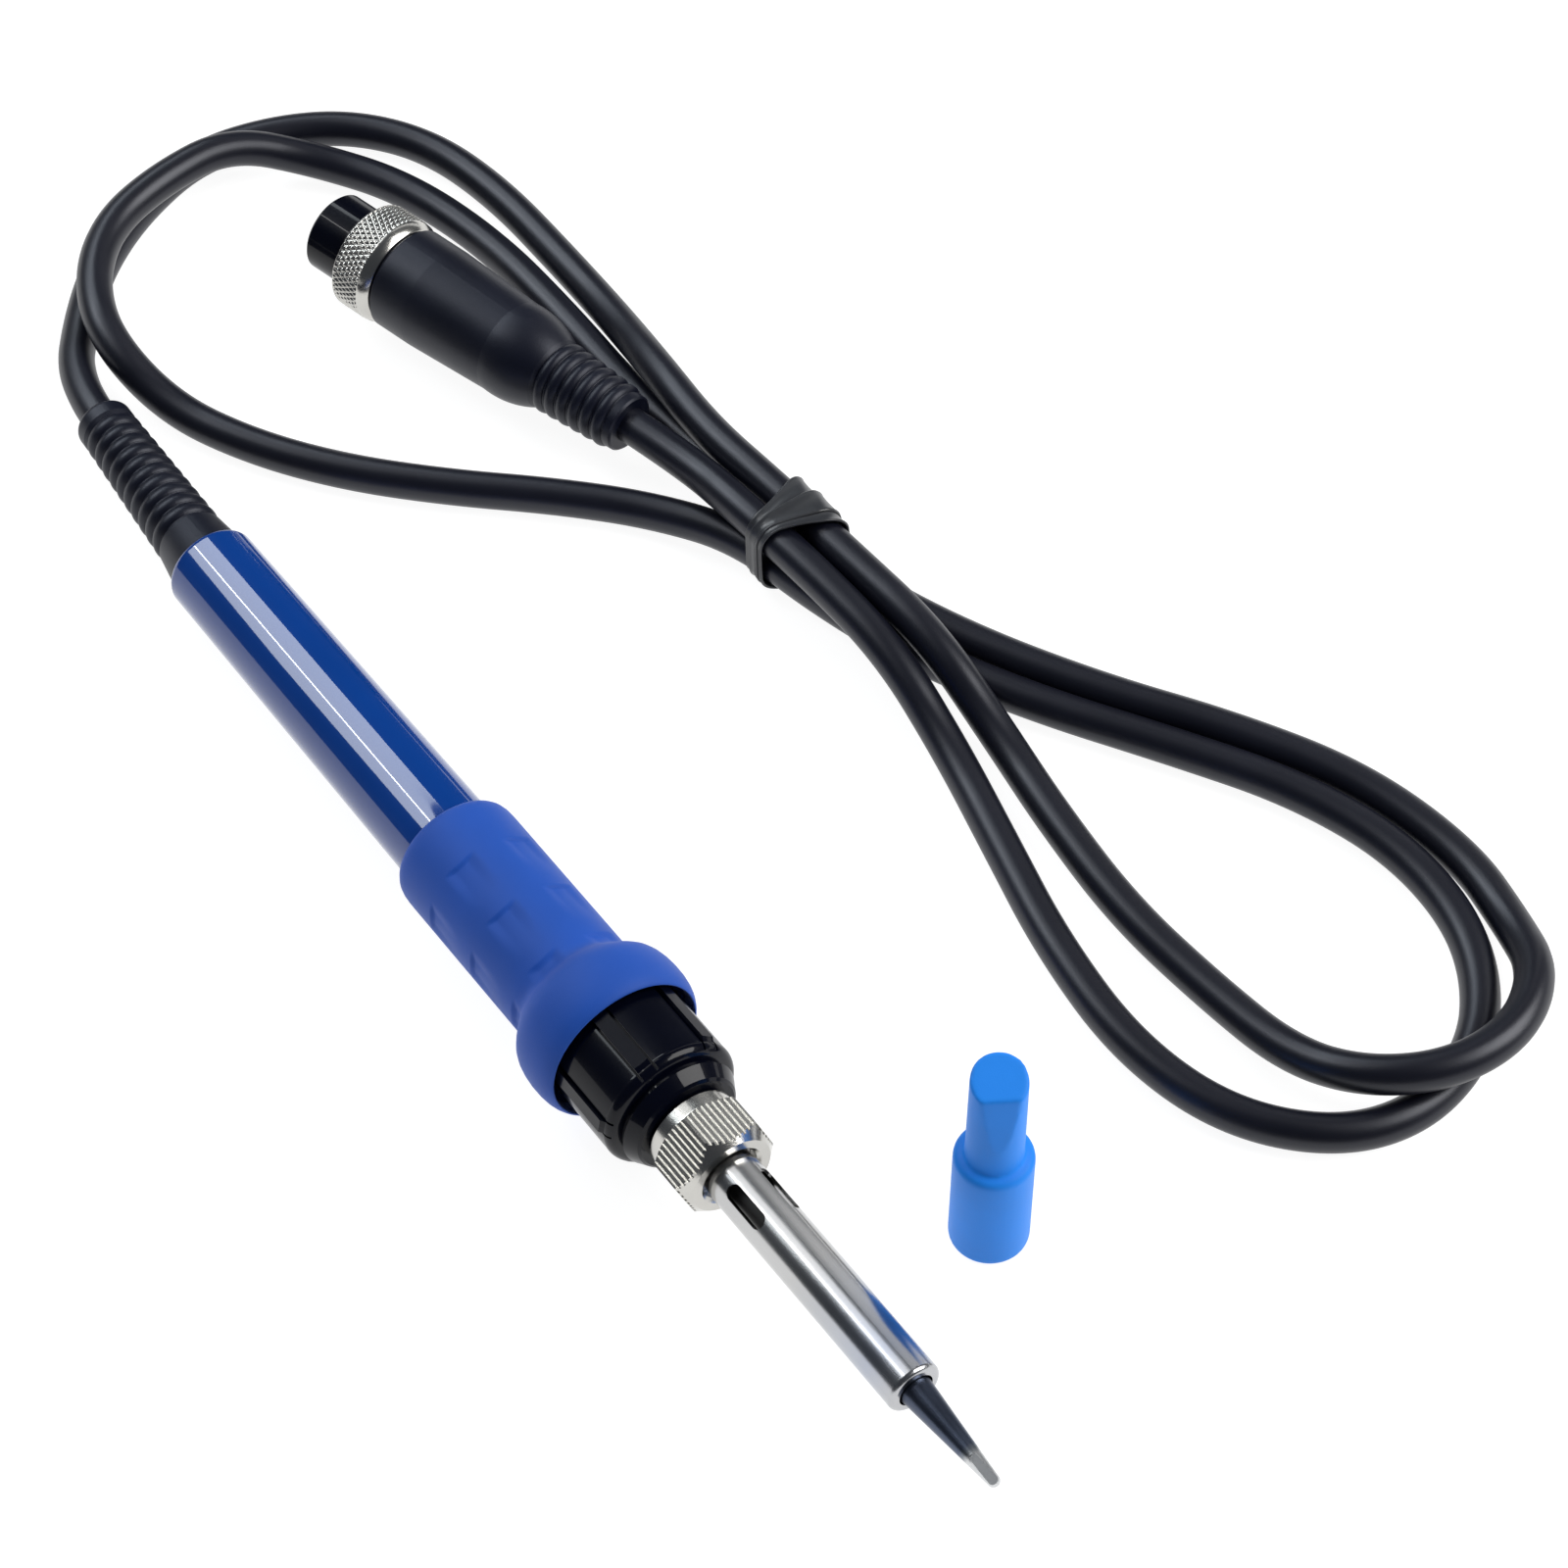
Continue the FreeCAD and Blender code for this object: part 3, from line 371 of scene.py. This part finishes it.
def scoop_depth(station, angle):
    """Thumbnail scoops: a short step at the rear of each that runs out sideways and forward."""
    column = SCOOP_COLUMNS * (angle - SCOOP_TURN) / (2 * math.pi)
    across = abs(column - round(column)) * 2
    if across > SCOOP_HALF_WIDTH:
        return 0.0
    side = 1 - smooth_step(0.2, SCOOP_HALF_WIDTH, across)
    depth = 0.0
    for ring in SCOOP_RINGS:
        ahead = station - ring + 1.2 * across * across
        fade = 1 - smooth_step(0.5, 7.5, ahead)
        depth = max(depth, smooth_step(-0.55, 0.0, ahead) * fade)
    return SCOOP_DEPTH * depth * side


def add_grip():
    """The sleeve's skin: a rounded rear edge, a scooped barrel and a round flange."""
    profile = list(GRIP_REAR_EDGE)
    barrel_start, barrel_end, barrel_r = 104.9, 130.4, 9.1
    station = barrel_start
    while station < barrel_end:
        profile.append((station, barrel_r - GRIP_TAPER * (station - barrel_start)))
        station += GRIP_STEP
    for (s0, r0), (s1, r1) in zip(GRIP_FLARE, GRIP_FLARE[1:]):
        profile += [(s0, r0), ((s0 + s1) / 2, (r0 + r1) / 2)]
    profile.append(GRIP_FLARE[-1])

    def radius(index, place, angle):
        fade = 1 - smooth_step(132.4, 135.4, place)
        return profile[index][1] - scoop_depth(place, angle) * fade

    grip = lathe("grip_skin", IRON, [s for s, _ in profile], radius, 288, BLUE_GRIP)
    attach(grip, "handle")
    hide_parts("grip_sleeve")


# ---------------------------------------------------------------- knurled coupling ring
KNURL_LINES = 56
KNURL_SLANT = math.radians(32)
KNURL_DEPTH = 0.26


def add_coupling_ring():
    """The plug's ring: a crossed knurl between two plain lips, with a bevel at its rear."""
    start, end, outer = 7.2, 14.7, 8.6
    lead = math.tan(KNURL_SLANT) / outer
    profile = [(start + 0.9, 7.0), (start + 0.05, 7.0), (start, 7.1), (start, 7.7), (start + 0.1, 7.85)]
    steps = 56
    knurl_start, knurl_end = start + 0.75, end - 1.75
    profile += [(knurl_start - 0.35, 8.15)]
    profile += [(knurl_start + (knurl_end - knurl_start) * k / steps, outer) for k in range(steps + 1)]
    profile += [(end - 1.6, outer - 0.1), (end - 1.2, outer - 0.12), (end - 0.15, outer - 0.85),
                (end, outer - 1.0), (end, 6.6), (end - 0.3, 6.45), (end - 2.0, 6.45)]

    def radius(index, station, angle):
        r = profile[index][1]
        if not knurl_start - 0.01 <= station <= knurl_end + 0.01:
            return r
        ridges = []
        for hand in (-1, 1):
            turn = KNURL_LINES * (angle + hand * lead * (station - knurl_start)) / (2 * math.pi)
            ridges.append(abs(2 * (turn - math.floor(turn)) - 1))
        fade = smooth_step(knurl_start, knurl_start + 0.3, station) * (
            1 - smooth_step(knurl_end - 0.3, knurl_end, station))
        groove = max(0.0, 1 - 1.35 * min(ridges))
        return r - KNURL_DEPTH * groove * fade - 0.05 * (1 - fade)

    ring = lathe("coupling_ring_knurled", PLUG, [s for s, _ in profile], radius, KNURL_LINES * 12, NICKEL)
    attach(ring, "coupling_ring")
    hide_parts("coupling_ring")
    return ring


# ---------------------------------------------------------------- cable tie
TIE_STRANDS = [(74.1, 9.5), (68.1, 9.6), (68.2, 3.75), (74.9, 3.75)]
TIE_CENTRE = Vector((0, 71.25, 6.6))
TIE_NEAR_Y = 64.6
TIE_FAR_Y = 77.6
TIE_SLACK = 0.22

# Each turn: middle and width at the near side, the same at the far side, lift over the turn before, twist.
TIE_TURNS = [
    (78.0, 75.6, 2.2, 4.4, 0.0, 0.5), (78.9, 80.0, 2.0, 5.0, 0.5, -0.35), (80.0, 83.3, 1.8, 2.9, 0.25, 0.55),
]

# Section of a strip one unit wide, as (across, up), with a raised rim along both edges.
TIE_SECTION = [
    (-0.5, 0.1), (-0.49, 0.32), (-0.43, 0.42), (-0.34, 0.3), (0.0, 0.24), (0.34, 0.3), (0.43, 0.42),
    (0.49, 0.32), (0.5, 0.1), (0.4, -0.05), (0.0, -0.08), (-0.4, -0.05),
]


def round_the_strands(steps):
    """Points close round the four strands, in y and z: far side first, then over the top."""
    loop = []
    for corner, (y, z) in enumerate(TIE_STRANDS):
        for step in range(steps):
            angle = math.radians(90 * corner + 90 * step / (steps - 1))
            reach = CORD_R + TIE_SLACK
            loop.append(Vector((0, y + reach * math.cos(angle), z + reach * math.sin(angle))))
    return loop


def add_tie():
    """Three turns of strip that fan out from the near side and ride over each other."""
    loop = []
    coarse = round_the_strands(16)
    for index, point in enumerate(coarse):
        following = coarse[(index + 1) % len(coarse)]
        count = max(1, int((following - point).length / 0.35))
        loop += [point.lerp(following, k / count) for k in range(count)]
    steps = len(loop)
    vertices, faces = [], []
    for near_x, far_x, near_width, far_width, lift, twist in TIE_TURNS:
        base = len(vertices)
        for index, point in enumerate(loop):
            before, after = loop[index - 3], loop[(index + 3) % steps]
            along = (after - before).normalized()
            outward = along.cross(Vector((1, 0, 0))).normalized()
            if outward.dot(point - TIE_CENTRE) < 0:
                outward = -outward
            share = smooth_step(TIE_NEAR_Y, TIE_FAR_Y, point.y)
            width = near_width + (far_width - near_width) * share
            centre = near_x + (far_x - near_x) * share
            roll = twist * math.sin(math.pi * share)
            for across, up in TIE_SECTION:
                rise = up + lift * (0.3 + 0.7 * share) + roll * across * 0.8 + abs(roll) * 0.3
                sideways = centre + across * width * (1 - 0.2 * abs(roll))
                place = point + Vector((sideways, 0, 0)) + outward * rise
                place.z = max(place.z, 0.03)
                vertices.append(world(place))
        count = len(TIE_SECTION)
        for index in range(steps):
            following = (index + 1) % steps
            for k in range(count):
                k2 = (k + 1) % count
                faces.append((base + index * count + k, base + following * count + k,
                              base + following * count + k2, base + index * count + k2))
    mesh = bpy.data.meshes.new("tie_wraps")
    mesh.from_pydata(vertices, [], faces)
    mesh.update()
    tie = new_piece("tie_wraps", mesh, TIE_GREY)
    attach(tie, "handle")
    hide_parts("cable_tie")
    return tie


# ---------------------------------------------------------------- tip cap
def add_cap():
    """The cap's own solid with every edge softened, as moulded silicone has."""
    mesh = frame["nodes"]["tip_cap"].data.copy()
    mesh.materials.clear()
    cap = new_piece("cap_soft", mesh, BLUE_CAP)
    remesh = cap.modifiers.new("remesh", "REMESH")
    remesh.mode = "VOXEL"
    remesh.voxel_size = 0.00022
    remesh.use_smooth_shade = True
    relax = cap.modifiers.new("relax", "SMOOTH")
    relax.factor = 0.5
    relax.iterations = 14
    graph = bpy.context.evaluated_depsgraph_get()
    soft = bpy.data.meshes.new_from_object(cap.evaluated_get(graph))
    cap.modifiers.clear()
    cap.data = soft
    for polygon in soft.polygons:
        polygon.use_smooth = True
    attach(cap, "tip_cap")
    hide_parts("tip_cap")


# ---------------------------------------------------------------- floor and lights
# Name, direction from the iron, direction of the long side, distance, size, radiance and colour.
# Overhead and tube give the two streaks along the handle, and the front and far ones serve the metal.
SOFTBOXES = [
    ("overhead", (-0.868, -0.145, 0.812), (0, 1, -0.08), 1.24, (1.17, 0.33), 5.8, (0.88, 0.95, 1.0)),
    ("overhead_front", (-0.5, -0.2, 1.05), (0, 1, -0.1), 1.3, (0.8, 0.3), 1.6, (1, 1, 1)),
    ("far_side", (-0.455, 0.815, 0.53), (0.05, 0.73, -1.0), 1.13, (1.3, 0.13), 1.1, (1, 1, 1)),
    ("tube", (-0.871, -0.322, 0.907), (0.74, -0.21, 0.64), 1.298, (0.27, 0.035), 28.0, (1, 1, 1)),
    ("tube_front", (-0.59, -0.41, 1.06), (0.6, 0, 0.25), 1.28, (0.34, 0.05), 9.0, (1, 1, 1)),
    ("key", (0.42, 0.62, 0.66), (1, 0, 0), 1.3, (0.9, 0.9), 6.5, (1.0, 0.99, 0.97)),
]


def add_stage():
    """A pale floor that glows a little, so that it stays white under soft light, and a dim studio."""
    mesh = bpy.data.meshes.new("floor")
    grid = bmesh.new()
    bmesh.ops.create_grid(grid, x_segments=2, y_segments=2, size=40.0)
    grid.to_mesh(mesh)
    grid.free()
    white = surface("pale floor", (0.22, 0.22, 0.22), 0.8, vary=0.005, patch=2.0, grain=200, bump=0.0,
                    Specular_IOR_Level=0.0, Emission_Color=(1.0, 1.0, 1.0, 1.0), Emission_Strength=0.93)
    floor = new_piece("floor", mesh, white)
    floor.location.z = -0.00005
    scene = bpy.context.scene
    scene.view_settings.view_transform = "Standard"
    scene.world = bpy.data.worlds.new("studio")
    scene.world.use_nodes = True
    background = scene.world.node_tree.nodes["Background"]
    background.inputs["Color"].default_value = (0.8, 0.87, 1.0, 1.0)
    background.inputs["Strength"].default_value = 0.07


def add_softbox(name, direction, long_side, distance, size, radiance, colour):
    """A rectangular softbox facing the iron from a direction, its long side along long_side."""
    data = bpy.data.lights.new(name, "AREA")
    data.shape = "RECTANGLE"
    data.size, data.size_y = size
    data.energy = radiance * math.pi * size[0] * size[1]
    data.color = colour
    light = bpy.data.objects.new(name, data)
    bpy.context.collection.objects.link(light)
    back = Vector(direction).normalized()
    side = (Vector(long_side) - Vector(long_side).dot(back) * back).normalized()
    up = back.cross(side)
    turn = Matrix((side, up, back)).transposed().to_4x4()
    light.matrix_world = Matrix.Translation(back * distance) @ turn


finish_nodes()
add_grip()
RING = add_coupling_ring()
TIE = add_tie()
add_cap()
add_stage()
for softbox in SOFTBOXES:
    add_softbox(*softbox)
